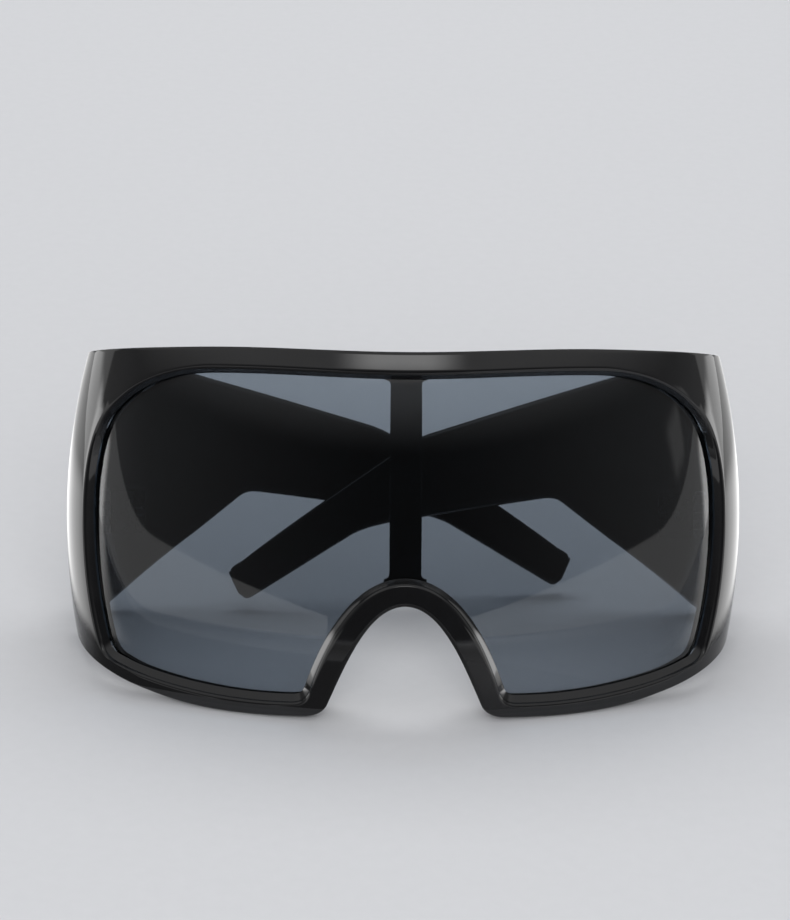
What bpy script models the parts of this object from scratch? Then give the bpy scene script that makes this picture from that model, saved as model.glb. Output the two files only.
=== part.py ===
"""Shield sunglasses with one wrapped lens, standing on a table with their temples folded.

The glasses are drawn upright in their own frame: X across the face, Y towards the ears, Z up.
Every surface of the front follows one wrapped sheet. A place on it is given by s, the developed
distance from the centre, z, the height, and a depth behind the outer face.
"""

import math

import bmesh
import bpy
import numpy as np
from mathutils import Matrix, Vector

MM = 0.001

# The wrapped sheet
HALF_ARC = 100.0 * MM  # developed half width, from the centre to the hinge end
FRAME_HEIGHT = 78.8 * MM
CENTRE_RADIUS = 150.0 * MM  # plan radius across the face
WRAP_ANGLE = math.radians(85.4)  # how far the hinge end has turned back
BULGE_RADIUS = 140.0 * MM  # vertical radius
TURN_START_SHARE = 0.54
TURN_FULL_SHARE = 0.68
TURN_EASE_SHARE = 0.82
TURN_END_SHARE = 0.92
BULGE_MIDDLE_SHARE = 0.54

# The moulded front
WALL = 3.6 * MM
EDGE_ROUND = 0.8 * MM
LIP_ROUND = 0.9 * MM
BAND_DEPTH = 5.2 * MM  # the front is this thick in a band round the lens opening
BAND_REACH = 4.2 * MM  # from the opening out to where the band starts
BAND_SLOPE = 1.4 * MM
BAND_START_SHARE = 0.3  # share of a narrow rim's width that stays outside the band
RECESS_DRAFT = 0.3 * MM  # how far the recess in front of the lens narrows inwards at the brow
LOWER_DRAFT = 1.0 * MM  # and how much more it does at the lower edge
DRAFT_TOP_SHARE = 0.8  # share of the height from which it narrows more
BAR_WIDTH = 7.0 * MM
BAR_THICKNESS = 1.6 * MM
BAR_FILLET = 1.2 * MM
FLANGE_DEPTH = 6.5 * MM  # moulded nose flange, behind the wall
FLANGE_WALL = 2.4 * MM
FLANGE_FLARE = math.radians(24.0)
FLANGE_FULL_SHARE = 0.35  # share of the nose cut-out's edge at which the flange is full depth
BRIDGE_START_SHARE = 0.55  # and at which it starts to thin towards the bridge
BRIDGE_DEPTH_SHARE = 0.4

# The lens and its groove
LENS_THICKNESS = 1.5 * MM
LENS_RECESS = 2.4 * MM
LENS_BITE = 1.0 * MM  # how far the lens runs into its groove
LIP_SETBACK = 0.5 * MM  # how far the groove's rear lip stays back from the recess's edge
LIP_MARGIN = 0.4 * MM
GAP = 0.3 * MM  # between neighbours

# The temples
TEMPLE_LENGTH = 109.0 * MM
TEMPLE_TIP_WALL = 3.2 * MM  # the root has the front's wall
TEMPLE_ROUND = 0.8 * MM
TIP_ROUND = 0.6 * MM
FLATTEN_SHARE = 0.44  # the plate's vertical bulge is gone at this share of its length
FOLD_CLEARANCE = 0.4 * MM
CROSSING_SHARE = 0.81  # past this share of its length the hook hangs below the other temple
HINGE_PLAY = math.radians(0.9)  # the table lifts the outer temple's tip and the inner one's hangs

# The hinges: five knuckles on one screw, each leaf on a moulded boss
KNUCKLE_COUNT = 5
KNUCKLE_HEIGHT = 1.6 * MM
BARREL_RADIUS = 1.7 * MM
LEAF_THICKNESS = 0.8 * MM
LEAF_REACH = 10.0 * MM  # from the hinge axis
HINGE_SETBACK = 2.9 * MM  # the axis lies this far behind the joint, so the folded temple's end covers it
AXIS_RELIEF = 0.8 * MM  # the axis may lie this far outside the highest part of the temple's inner face
BOSS_LENGTH = 10.8 * MM
BOSS_MARGIN = 1.6 * MM  # how far the boss stands past the leaf, above and below
BOSS_ROUND = 0.6 * MM
HINGE_SCREW_RADIUS = 0.6 * MM
HINGE_HEAD_RADIUS = 1.35 * MM
HINGE_HEAD_HEIGHT = 0.8 * MM
LEAF_SCREW_RADIUS = 0.6 * MM
LEAF_HEAD_RADIUS = 1.1 * MM
LEAF_HEAD_HEIGHT = 0.5 * MM
LEAF_SCREW_BITE = 2.2 * MM  # into the boss
LEAF_SCREW_SHARES = (0.52, 0.86)  # along the leaf, from the axis
HEAD_TOP_SHARE = 0.8  # a screw head's flat top, of its radius
HEAD_RIM_SHARE = 0.6  # and its rim, of its height
SLIP = 0.2 * MM  # leaf to boss, and screw head to leaf
OVERRUN = 1.0 * MM  # how far a joined or cut shape runs on
MERGE = 0.002 * MM
SMOOTH_ANGLE = math.radians(35)

LEAF_STANDOFF = BARREL_RADIUS + SLIP  # hinge axis to boss face
GROOVE_DEPTH = LENS_RECESS - GAP  # the groove's front side, behind the recess's wall
SEAT_DEPTH = LENS_RECESS + LENS_THICKNESS + GAP  # its rear side
BULGE_MIDDLE = BULGE_MIDDLE_SHARE * FRAME_HEIGHT
HINGE_HEIGHT = KNUCKLE_COUNT * KNUCKLE_HEIGHT + (KNUCKLE_COUNT - 1) * GAP

# Outlines of the right half as chains of Bezier spans, in shares of HALF_ARC and FRAME_HEIGHT.
# Both run from the middle of the brow, round the end, along the lower rim and up the nose arch.
OUTER_SHARES = (
    ((0, 0.986), (0.15, 0.986), (0.29, 1), (0.44, 1)),
    ((0.44, 1), (0.60, 1), (0.80, 0.990), (0.982, 0.990)),
    ((0.982, 0.990), (0.993, 0.990), (1, 0.981), (1, 0.967)),
    ((1, 0.967), (1, 0.74), (1, 0.52), (1, 0.300)),
    ((1, 0.300), (1, 0.283), (0.993, 0.273), (0.978, 0.266)),
    ((0.978, 0.266), (0.86, 0.203), (0.70, 0.105), (0.58, 0.061)),
    ((0.58, 0.061), (0.50, 0.0254), (0.40, 0), (0.225, 0)),
    ((0.225, 0), (0.202, 0), (0.18, 0.009), (0.171, 0.033)),
    ((0.171, 0.033), (0.126, 0.147), (0.076, 0.301), (0, 0.301)),
)
LENS_SHARES = (
    ((0, 0.921), (0.14, 0.921), (0.28, 0.938), (0.44, 0.938)),
    ((0.44, 0.938), (0.515, 0.938), (0.593, 0.912), (0.656, 0.846)),
    ((0.656, 0.846), (0.664, 0.838), (0.672, 0.829), (0.680, 0.819)),
    (
        (0.680, 0.819),
        (0.716, 0.774),
        (0.735, 0.68),
        (0.735, 0.558),
        (0.736, 0.444),
        (0.732, 0.33),
        (0.722, 0.247),
    ),
    ((0.722, 0.247), (0.7205, 0.233), (0.7185, 0.219), (0.716, 0.205)),
    (
        (0.716, 0.205),
        (0.711, 0.17),
        (0.697, 0.147),
        (0.66, 0.1345),
        (0.632, 0.1213),
        (0.604, 0.1096),
        (0.576, 0.0993),
    ),
    ((0.576, 0.0993), (0.465, 0.058), (0.355, 0.0393), (0.25, 0.0393)),
    ((0.25, 0.0393), (0.228, 0.0393), (0.215, 0.052), (0.209, 0.0761)),
    ((0.209, 0.0761), (0.176, 0.18), (0.112, 0.3645), (0, 0.3645)),
)
SECTION_COUNTS = (8, 11, 3, 10, 3, 10, 7, 4, 12)
NOSE_SECTION_COUNT = 2  # the last sections of the outline, which carry the nose flange

# A temple's upper and lower edges, in shares of TEMPLE_LENGTH and FRAME_HEIGHT, from hinge to tip
TEMPLE_TOP_SHARES = (
    ((0, 0.990), (0.09, 0.990), (0.162, 0.958), (0.2217, 0.935)),
    ((0.2217, 0.935), (0.343, 0.885), (0.4634, 0.834), (0.5848, 0.783)),
    ((0.5848, 0.783), (0.609, 0.772), (0.639, 0.751), (0.6667, 0.721)),
    ((0.6667, 0.721), (0.764, 0.631), (0.873, 0.533), (0.976, 0.424)),
    ((0.976, 0.424), (0.987, 0.414), (1, 0.408), (1, 0.395)),
)
TEMPLE_FOOT_SHARES = (
    ((0, 0.252), (0.03, 0.263), (0.145, 0.404), (0.212, 0.471)),
    (
        (0.212, 0.471),
        (0.2428, 0.504),
        (0.2737, 0.538),
        (0.3045, 0.572),
        (0.3199, 0.589),
        (0.3276, 0.598),
        (0.3546, 0.593),
        (0.4413, 0.577),
        (0.528, 0.559),
        (0.6147, 0.541),
    ),
    ((0.6147, 0.541), (0.6725, 0.528), (0.7226, 0.520), (0.7582, 0.4875)),
    ((0.7582, 0.4875), (0.8247, 0.432), (0.8902, 0.376), (0.9567, 0.3205)),
    ((0.9567, 0.3205), (0.9634, 0.315), (0.973, 0.315), (0.9769, 0.325)),
)
TEMPLE_COUNTS = (5, 12, 4, 4, 2)
ROW_SHARES = (0.17, 0.33, 0.5, 0.67, 0.83)  # rows of points across a face, between its rounded edges
BACK_SHARES = (0.25, 0.5, 0.75, 1)  # and across the back of a narrow rim
LENS_ROWS = 7
PLAN_STEPS = 400
BAR_STEPS = 7
BARREL_SIDES = 16
SCREW_SIDES = 10
ARC_SHARE = 1 - math.sqrt(0.5)  # where the middle of a rounded edge lies


def ease(value, start, end):
    """0 before start, 1 after end, and smooth between them."""
    share = min(max((value - start) / (end - start), 0), 1)
    return share * share * (3 - 2 * share)


def plan_curve():
    """Developed distance, x, y and heading along the middle of the wrapped sheet, from the centre out.

    It runs at CENTRE_RADIUS across the face, tightens at each side and is straight at the hinge.
    """
    shares = np.linspace(0, 1, PLAN_STEPS + 1)
    wide = np.array([1 - ease(q, TURN_EASE_SHARE, TURN_END_SHARE) for q in shares])
    tight = np.array([ease(q, TURN_START_SHARE, TURN_FULL_SHARE) for q in shares]) * wide
    wide = wide - tight
    step = HALF_ARC / PLAN_STEPS
    extra = (WRAP_ANGLE - wide.sum() * step / CENTRE_RADIUS) / (tight.sum() * step)
    bend = wide / CENTRE_RADIUS + tight * extra
    heading = np.concatenate([[0], np.cumsum((bend[1:] + bend[:-1]) / 2 * step)])
    x = np.concatenate([[0], np.cumsum(np.cos((heading[1:] + heading[:-1]) / 2) * step)])
    y = np.concatenate([[0], np.cumsum(np.sin((heading[1:] + heading[:-1]) / 2) * step)])
    return shares * HALF_ARC, x, y, heading


PLAN = plan_curve()
END = Vector((PLAN[1][-1], PLAN[2][-1], 0))
END_HEADING = PLAN[3][-1]
END_OUTWARD = Vector((math.sin(END_HEADING), -math.cos(END_HEADING), 0))
END_BACKWARD = Vector((math.cos(END_HEADING), math.sin(END_HEADING), 0))


def bulge(z):
    """How far the sheet draws in at this height, and its slope there."""
    rise = z - BULGE_MIDDLE
    run = math.sqrt(BULGE_RADIUS * BULGE_RADIUS - rise * rise)
    return BULGE_RADIUS - run, rise / run


def front_point(s, z, depth):
    """A point of the front, at a depth behind its outer face."""
    along = abs(s)
    heading = np.interp(along, PLAN[0], PLAN[3])
    x = np.interp(along, PLAN[0], PLAN[1])
    y = np.interp(along, PLAN[0], PLAN[2])
    drawn_in, slope = bulge(z)
    outward = Vector((math.sin(heading), -math.cos(heading), 0))
    normal = (outward + Vector((0, 0, slope))).normalized()
    point = Vector((x, y, z)) - outward * drawn_in - normal * depth
    return Vector((math.copysign(1, s) * point.x, point.y, point.z))


# The hinge axis lies inside the wall, far enough for the highest, most drawn-in part of the root.
AXIS_INSET = bulge(FRAME_HEIGHT)[0] - AXIS_RELIEF
AXIS = END - END_OUTWARD * (WALL + AXIS_INSET) + END_BACKWARD * (GAP / 2 + HINGE_SETBACK)


def temple_point(u, z, depth):
    """A point of the right temple, opened: u runs back from the front's end face."""
    drawn_in, slope = bulge(z)
    flat = 1 - ease(u / TEMPLE_LENGTH, 0, FLATTEN_SHARE)
    normal = (END_OUTWARD + Vector((0, 0, slope * flat))).normalized()
    return END + END_BACKWARD * u - END_OUTWARD * (drawn_in * flat) - normal * depth + Vector((0, 0, z))


def bezier_chain(points, count):
    """Count + 1 points at even distances along a chain of Bezier spans."""
    dense = []
    steps = np.linspace(0, 1, 60)
    for first in range(0, len(points) - 1, 3):
        a, b, c, d = (np.array(p, float) for p in points[first : first + 4])
        for t in steps:
            dense.append((1 - t) ** 3 * a + 3 * (1 - t) ** 2 * t * b + 3 * (1 - t) * t * t * c + t**3 * d)
    dense = np.array(dense)
    run = np.concatenate([[0], np.cumsum(np.linalg.norm(np.diff(dense, axis=0), axis=1))])
    want = np.linspace(0, run[-1], count + 1)
    return np.column_stack([np.interp(want, run, dense[:, 0]), np.interp(want, run, dense[:, 1])])


def outline(tables, counts, width, height):
    """The points of an outline's sections, one after the other, with no point repeated."""
    scale = np.array([width, height])
    parts = []
    for shares, count in zip(tables, counts):
        parts.append(bezier_chain(np.array(shares) * scale, count)[:-1])
    parts.append(np.array([tables[-1][-1]]) * scale)
    return np.concatenate(parts)


def inward_offset(points, distance):
    """The lens outline moved into its opening. Its two ends lie on the centre line."""
    tangent = np.gradient(points, axis=0)
    tangent[0] = (1, 0)
    tangent[-1] = (-1, 0)
    tangent /= np.linalg.norm(tangent, axis=1)[:, None]
    return points + np.column_stack([tangent[:, 1], -tangent[:, 0]]) * np.reshape(distance, (-1, 1))


def recess_draft(z):
    """How far the recess in front of the lens narrows inwards at this height."""
    return RECESS_DRAFT + LOWER_DRAFT * (1 - ease(z, 0, DRAFT_TOP_SHARE * FRAME_HEIGHT))


def new_object(name, mesh, material, parent=None, location=(0, 0, 0), smooth=True):
    if smooth:
        mesh.shade_smooth()
        mesh.set_sharp_from_angle(angle=SMOOTH_ANGLE)
    piece = bpy.data.objects.new(name, mesh)
    piece.parent = parent
    piece.location = location
    piece.data.materials.append(material)
    bpy.context.scene.collection.objects.link(piece)
    return piece


def new_empty(name, parent=None, location=(0, 0, 0)):
    empty = bpy.data.objects.new(name, None)
    empty.parent = parent
    empty.location = location
    bpy.context.scene.collection.objects.link(empty)
    return empty


def new_material(name, color, roughness, metallic, alpha=1.0):
    material = bpy.data.materials.new(name)
    material.use_nodes = True
    shader = material.node_tree.nodes["Principled BSDF"]
    shader.inputs["Base Color"].default_value = (*color, 1)
    shader.inputs["Roughness"].default_value = roughness
    shader.inputs["Metallic"].default_value = metallic
    shader.inputs["Alpha"].default_value = alpha
    material.diffuse_color = (*color, alpha)
    return material


def loft(rings, closed):
    """A closed skin over rings with equal counts of points. An open run of rings gets end faces."""
    bm = bmesh.new()
    loops = []
    for ring in rings:
        verts = [bm.verts.new(point) for point in ring]
        loops.append([bm.edges.new((a, b)) for a, b in zip(verts, verts[1:] + verts[:1])])
    pairs = list(zip(loops, loops[1:]))
    if closed:
        pairs.append((loops[-1], loops[0]))
    for near, far in pairs:
        bmesh.ops.bridge_loops(bm, edges=near + far)
    if not closed:
        bmesh.ops.contextual_create(bm, geom=loops[0])
        bmesh.ops.contextual_create(bm, geom=loops[-1])
    bmesh.ops.recalc_face_normals(bm, faces=bm.faces)
    mesh = bpy.data.meshes.new("loft")
    bm.to_mesh(mesh)
    bm.free()
    return mesh


def prism(points, low, high):
    """An outline in plan, raised from low to high."""
    bm = bmesh.new()
    face = bm.faces.new([bm.verts.new((x, y, low)) for x, y in points])
    raised = bmesh.ops.extrude_face_region(bm, geom=[face])
    top = [item for item in raised["geom"] if isinstance(item, bmesh.types.BMVert)]
    bmesh.ops.translate(bm, verts=top, vec=(0, 0, high - low))
    bmesh.ops.recalc_face_normals(bm, faces=bm.faces)
    mesh = bpy.data.meshes.new("prism")
    bm.to_mesh(mesh)
    bm.free()
    return mesh


def cylinder(radius, start, end, sides):
    """A round bar from start to end."""
    along = Vector(end) - Vector(start)
    turn = Vector((0, 0, 1)).rotation_difference(along).to_matrix().to_4x4()
    middle = (Vector(start) + Vector(end)) / 2
    bm = bmesh.new()
    bmesh.ops.create_cone(
        bm,
        cap_ends=True,
        segments=sides,
        radius1=radius,
        radius2=radius,
        depth=along.length,
        matrix=Matrix.Translation(middle) @ turn,
    )
    mesh = bpy.data.meshes.new("cylinder")
    bm.to_mesh(mesh)
    bm.free()
    return mesh


def helper(piece, mesh, operation):
    """Joins a hidden shape to a piece, or cuts it out."""
    tool = new_object(piece.name + "_tool", mesh, piece.data.materials[0], piece, smooth=False)
    tool.hide_render = True
    tool.display_type = "WIRE"
    boolean = piece.modifiers.new(operation.title(), "BOOLEAN")
    boolean.object = tool
    boolean.operation = operation
    boolean.solver = "EXACT"
    return tool


def joined(meshes):
    """Separate closed shapes in one mesh."""
    bm = bmesh.new()
    for mesh in meshes:
        bm.from_mesh(mesh)
    whole = bpy.data.meshes.new("joined")
    bm.to_mesh(whole)
    bm.free()
    return whole


def mirrored(mesh, side):
    """The mesh itself on the right, and its mirror image on the left."""
    if side < 0:
        bm = bmesh.new()
        bm.from_mesh(mesh)
        bmesh.ops.scale(bm, vec=(-1, 1, 1), verts=bm.verts)
        bmesh.ops.reverse_faces(bm, faces=bm.faces)
        bm.to_mesh(mesh)
        bm.free()
    return mesh


def nose_flange(share):
    """Depth of the nose flange along the last sections, from the lobe's corner to the arch's top."""
    bridge = 1 - (1 - BRIDGE_DEPTH_SHARE) * ease(share, BRIDGE_START_SHARE, 1)
    return FLANGE_DEPTH * ease(share, 0, FLANGE_FULL_SHARE) * bridge


def band_depth(q, bend):
    """Depth of the front's rear face at this distance from its outer edge."""
    return WALL + (BAND_DEPTH - WALL) * ease(q, bend, bend + BAND_SLOPE)


def front_section(outer, lens, seat, groove, lip_edge, flange):
    """The rim's closed section: round its outer edge, over the face, through the lens groove and back."""
    along = lens - outer
    reach = np.linalg.norm(along)
    along = along / reach
    edge = min(EDGE_ROUND, reach / 4)
    lip = min(LIP_ROUND, reach / 4)
    shift = flange * math.tan(FLANGE_FLARE)
    back = WALL + flange
    rows = [edge + (reach - lip - edge) * share for share in ROW_SHARES]
    last = (lip_edge - outer) @ along - LIP_MARGIN
    base = min(FLANGE_WALL + EDGE_ROUND / 2 + shift + flange / 4, last - LIP_MARGIN)
    bend = max(reach - BAND_REACH, BAND_START_SHARE * reach)
    if bend > base + BAND_SLOPE:
        back_rows = [(bend + base) / 2, bend, bend + BAND_SLOPE, last]
    else:
        back_rows = [base + (last - base) * share for share in BACK_SHARES]

    section = [(0, edge), (edge * ARC_SHARE, edge * ARC_SHARE), (edge, 0)]
    section += [(row, 0) for row in rows]
    section += [(reach - lip, 0), (reach - lip * ARC_SHARE, lip * ARC_SHARE), (reach, lip)]
    points = [(*(outer + along * q), depth) for q, depth in section]
    points += [(*seat, GROOVE_DEPTH), (*groove, GROOVE_DEPTH), (*groove, SEAT_DEPTH)]
    points += [(*lip_edge, SEAT_DEPTH), (*lip_edge, BAND_DEPTH)]
    section = [(row, WALL) for row in reversed(back_rows)]
    section += [(base, WALL), (FLANGE_WALL + shift, back - min(edge, flange))]
    section += [(FLANGE_WALL - edge + shift, back), (edge + shift, back)]
    section = [(q, max(depth, band_depth(q, bend))) for q, depth in section]
    section += [(edge * ARC_SHARE + shift, back - edge * ARC_SHARE), (shift, back - edge)]
    points += [(*(outer + along * q), depth) for q, depth in section]
    return points


def rim_mesh():
    outer = outline(OUTER_SHARES, SECTION_COUNTS, HALF_ARC, FRAME_HEIGHT)
    lens = outline(LENS_SHARES, SECTION_COUNTS, HALF_ARC, FRAME_HEIGHT)
    draft = np.array([recess_draft(z) for s, z in lens])
    seat = inward_offset(lens, draft)
    groove = inward_offset(lens, draft - LENS_BITE - GAP)
    lip_edge = inward_offset(lens, draft - LIP_SETBACK)
    nose_count = sum(SECTION_COUNTS[-NOSE_SECTION_COUNT:])
    nose_start = len(outer) - 1 - nose_count
    half = []
    for station in range(len(outer)):
        flange = nose_flange(max(station - nose_start, 0) / nose_count)
        edges = (table[station] for table in (outer, lens, seat, groove, lip_edge))
        half.append(front_section(*edges, flange))
    rings = [[front_point(s, z, depth) for s, z, depth in section] for section in half]
    rings += [[Vector((-p.x, p.y, p.z)) for p in ring] for ring in reversed(rings[1:-1])]
    return loft(rings, closed=True)


def bar_mesh():
    """The centre bar behind the lens, flared where it meets the rear lip at the brow and at the arch."""
    low = LENS_SHARES[-1][-1][1] * FRAME_HEIGHT
    low += recess_draft(low) - LIP_SETBACK
    high = LENS_SHARES[0][0][1] * FRAME_HEIGHT
    high -= recess_draft(high) - LIP_SETBACK
    near = SEAT_DEPTH + GAP / 2
    rings = []
    ends = np.linspace(0, 1, BAR_STEPS)
    heights = [low - OVERRUN]
    heights += [low + BAR_FILLET * share for share in ends]
    heights += list(np.linspace(low + BAR_FILLET, high - BAR_FILLET, BAR_STEPS))[1:-1]
    heights += [high - BAR_FILLET * share for share in reversed(ends)]
    heights += [high + OVERRUN]
    for z in heights:
        clear = min(max(min(z - low, high - z), 0), BAR_FILLET)
        flare = BAR_FILLET - math.sqrt(BAR_FILLET**2 - (BAR_FILLET - clear) ** 2)
        half = BAR_WIDTH / 2 + flare
        rings.append(
            [front_point(half * share, z, near) for share in (-1, 0, 1)]
            + [front_point(half * share, z, near + BAR_THICKNESS) for share in (1, 0, -1)]
        )
    return loft(rings, closed=False)


def hinge_place(outward, backward, z=0):
    """A point in the hinge's own frame, for the opened right hinge, from its axis at mid height."""
    return END_OUTWARD * outward + END_BACKWARD * backward + Vector((0, 0, z))


def boss_mesh(direction, origin):
    """The moulded boss under a leaf: direction is -1 on the front and 1 on the temple."""
    start = EDGE_ROUND + (HINGE_SETBACK + GAP / 2 if direction < 0 else 0)
    half = HINGE_HEIGHT / 2 + BOSS_MARGIN
    root = AXIS_INSET + OVERRUN
    bm = bmesh.new()
    bmesh.ops.create_cube(bm, size=1)
    for vert in bm.verts:
        inner = vert.co.x < 0
        draft = BOSS_ROUND if inner else 0
        outward = LEAF_STANDOFF if inner else root
        backward = start if vert.co.y < 0 else BOSS_LENGTH - draft
        height = math.copysign(half - draft, vert.co.z)
        vert.co = origin + hinge_place(outward, backward * direction, height)
    bmesh.ops.recalc_face_normals(bm, faces=bm.faces)
    bmesh.ops.bevel(
        bm,
        geom=bm.edges[:],
        offset=BOSS_ROUND / 2,
        offset_type="OFFSET",
        segments=1,
        profile=0.5,
        affect="EDGES",
        material=-1,
    )
    mesh = bpy.data.meshes.new("boss")
    bm.to_mesh(mesh)
    bm.free()
    return mesh


def leaf_screw_places(direction):
    return [LEAF_REACH * share * direction for share in LEAF_SCREW_SHARES]


def screw_holes(direction, origin):
    """Blind holes for the leaf screws, in the boss and the wall behind it."""
    holes = []
    for along in leaf_screw_places(direction):
        start = origin + hinge_place(LEAF_STANDOFF - OVERRUN, along)
        end = origin + hinge_place(LEAF_STANDOFF + LEAF_SCREW_BITE + GAP, along)
        holes.append(cylinder(LEAF_SCREW_RADIUS + GAP, start, end, SCREW_SIDES))
    return joined(holes)


def axis_at(side):
    return Vector((AXIS.x * side, AXIS.y, BULGE_MIDDLE))


def make_front(parent, material):
    front = new_object("frame_front", rim_mesh(), material, parent)
    helper(front, bar_mesh(), "UNION")
    for side in (1, -1):
        middle = axis_at(1)
        helper(front, mirrored(boss_mesh(-1, middle), side), "UNION")
        helper(front, mirrored(screw_holes(-1, middle), side), "DIFFERENCE")
    return front


def lens_mesh():
    """One sheet wrapped both ways: columns from the lower edge to the upper edge, with a thickness."""
    opening = outline(LENS_SHARES, SECTION_COUNTS, HALF_ARC, FRAME_HEIGHT)
    edge = inward_offset(opening, np.array([recess_draft(z) for s, z in opening]) - LENS_BITE)
    side = int(np.argmax(edge[:, 0]))
    upper = edge[: side + 1]
    lower = edge[side:][::-1]
    rings = []
    for s, foot in lower[:-2]:
        heights = np.linspace(foot, np.interp(s, upper[:, 0], upper[:, 1]), LENS_ROWS + 1)
        face = [front_point(s, z, LENS_RECESS) for z in heights]
        rear = [front_point(s, z, LENS_RECESS + LENS_THICKNESS) for z in reversed(heights)]
        rings.append(face + rear)
    rings = [[Vector((-p.x, p.y, p.z)) for p in ring] for ring in reversed(rings[1:])] + rings
    return loft(rings, closed=False)


def temple_wall(share):
    return WALL + (TEMPLE_TIP_WALL - WALL) * share


def temple_section(foot, head, inset, shift):
    """The temple's closed section between its lower and upper edges, with rounded corners.

    It is drawn in all round by the inset, and shifted along the temple.
    """
    along = head - foot
    reach = np.linalg.norm(along)
    along = along / reach
    edge = min(TEMPLE_ROUND, reach / 4)
    corner = edge * ARC_SHARE
    low = inset
    high = reach - inset
    skin = [(low, edge), (low + corner, corner), (low + edge, 0)]
    skin += [(low + edge + (high - low - 2 * edge) * share, 0) for share in ROW_SHARES]
    skin += [(high - edge, 0), (high - corner, corner), (high, edge)]
    outer = []
    inner = []
    for q, depth in skin:
        u, z = foot + along * q
        outer.append((u + shift, z, inset + depth))
        inner.append((u + shift, z, temple_wall(u / TEMPLE_LENGTH) - inset - depth))
    return outer + inner[::-1]


def temple_mesh():
    """The opened right temple: a wide plate that narrows to an arm and ends in a hook."""
    heads = outline(TEMPLE_TOP_SHARES, TEMPLE_COUNTS, TEMPLE_LENGTH, FRAME_HEIGHT)
    feet = outline(TEMPLE_FOOT_SHARES, TEMPLE_COUNTS, TEMPLE_LENGTH, FRAME_HEIGHT)
    sections = [temple_section(feet[0], heads[0], TIP_ROUND, GAP)]
    sections.append(temple_section(feet[0], heads[0], 0, GAP + TIP_ROUND))
    sections += [temple_section(foot, head, 0, GAP) for foot, head in zip(feet[1:], heads[1:])]
    sections.append(temple_section(feet[-1], heads[-1], TIP_ROUND, GAP + TIP_ROUND))
    origin = AXIS + Vector((0, 0, BULGE_MIDDLE))
    rings = [[temple_point(u, z, depth) - origin for u, z, depth in section] for section in sections]
    return loft(rings, closed=False)


def make_temple(name, side, hinge, material):
    temple = new_object(name, mirrored(temple_mesh(), side), material, hinge)
    origin = Vector((0, 0, 0))
    helper(temple, mirrored(boss_mesh(1, origin), side), "UNION")
    helper(temple, mirrored(screw_holes(1, origin), side), "DIFFERENCE")
    return temple


def plan_outline(points, direction):
    """Places across and along the hinge as x and y."""
    places = [hinge_place(across, along * direction) for across, along in points]
    return [(place.x, place.y) for place in places]


def leaf_outline():
    """The leaf in plan: a barrel round the axis, and a flat plate that runs out from it along the boss."""
    back = BARREL_RADIUS - LEAF_THICKNESS
    turns = np.linspace(0, math.pi * 2 - math.acos(back / BARREL_RADIUS), BARREL_SIDES)
    barrel = [(BARREL_RADIUS * math.cos(a), -BARREL_RADIUS * math.sin(a)) for a in turns]
    return barrel + [(back, LEAF_REACH), (BARREL_RADIUS, LEAF_REACH)]


def knuckle_slots(direction):
    """Room for the other leaf's knuckles: the front leaf has the outer ones and the middle one."""
    reach = BARREL_RADIUS + OVERRUN
    near = BARREL_RADIUS + GAP
    corners = [(-reach, -reach), (reach, -reach), (reach, near), (-reach, near)]
    slots = []
    for index in range(1 if direction < 0 else 0, KNUCKLE_COUNT, 2):
        low = index * (KNUCKLE_HEIGHT + GAP) - HINGE_HEIGHT / 2
        slots.append(prism(plan_outline(corners, direction), low - GAP, low + KNUCKLE_HEIGHT + GAP))
    return joined(slots)


def make_leaf(name, side, direction, parent, location, material):
    """One leaf: its barrel slotted into knuckles, bored for the hinge screw, its plate drilled."""
    half = HINGE_HEIGHT / 2
    blank = mirrored(prism(plan_outline(leaf_outline(), direction), -half, half), side)
    leaf = new_object(name, blank, material, parent, location)
    helper(leaf, mirrored(knuckle_slots(direction), side), "DIFFERENCE")
    reach = half + OVERRUN
    bore = cylinder(HINGE_SCREW_RADIUS + GAP, (0, 0, -reach), (0, 0, reach), SCREW_SIDES)
    helper(leaf, mirrored(bore, side), "DIFFERENCE")
    holes = []
    for along in leaf_screw_places(direction):
        start = hinge_place(BARREL_RADIUS - LEAF_THICKNESS - OVERRUN, along)
        end = hinge_place(BARREL_RADIUS + OVERRUN, along)
        holes.append(cylinder(LEAF_SCREW_RADIUS + GAP, start, end, SCREW_SIDES))
    helper(leaf, mirrored(joined(holes), side), "DIFFERENCE")
    return leaf


def turned_screw(head_radius, head_height, shank_radius, shank_length):
    """A screw along -Z with its head's underside at z = 0, turned from its half profile."""
    profile = [
        (0, head_height),
        (head_radius * HEAD_TOP_SHARE, head_height),
        (head_radius, head_height * HEAD_RIM_SHARE),
        (head_radius, 0),
        (shank_radius, 0),
        (shank_radius, -shank_length + shank_radius / 2),
        (shank_radius / 2, -shank_length),
        (0, -shank_length),
    ]
    bm = bmesh.new()
    verts = [bm.verts.new((r, 0, z)) for r, z in profile]
    edges = [bm.edges.new(pair) for pair in zip(verts, verts[1:])]
    bmesh.ops.spin(
        bm,
        geom=verts + edges,
        cent=(0, 0, 0),
        axis=(0, 0, 1),
        angle=2 * math.pi,
        steps=SCREW_SIDES,
        use_merge=True,
    )
    bmesh.ops.remove_doubles(bm, verts=bm.verts, dist=MERGE)
    bmesh.ops.recalc_face_normals(bm, faces=bm.faces)
    mesh = bpy.data.meshes.new("screw")
    bm.to_mesh(mesh)
    bm.free()
    return mesh


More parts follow.
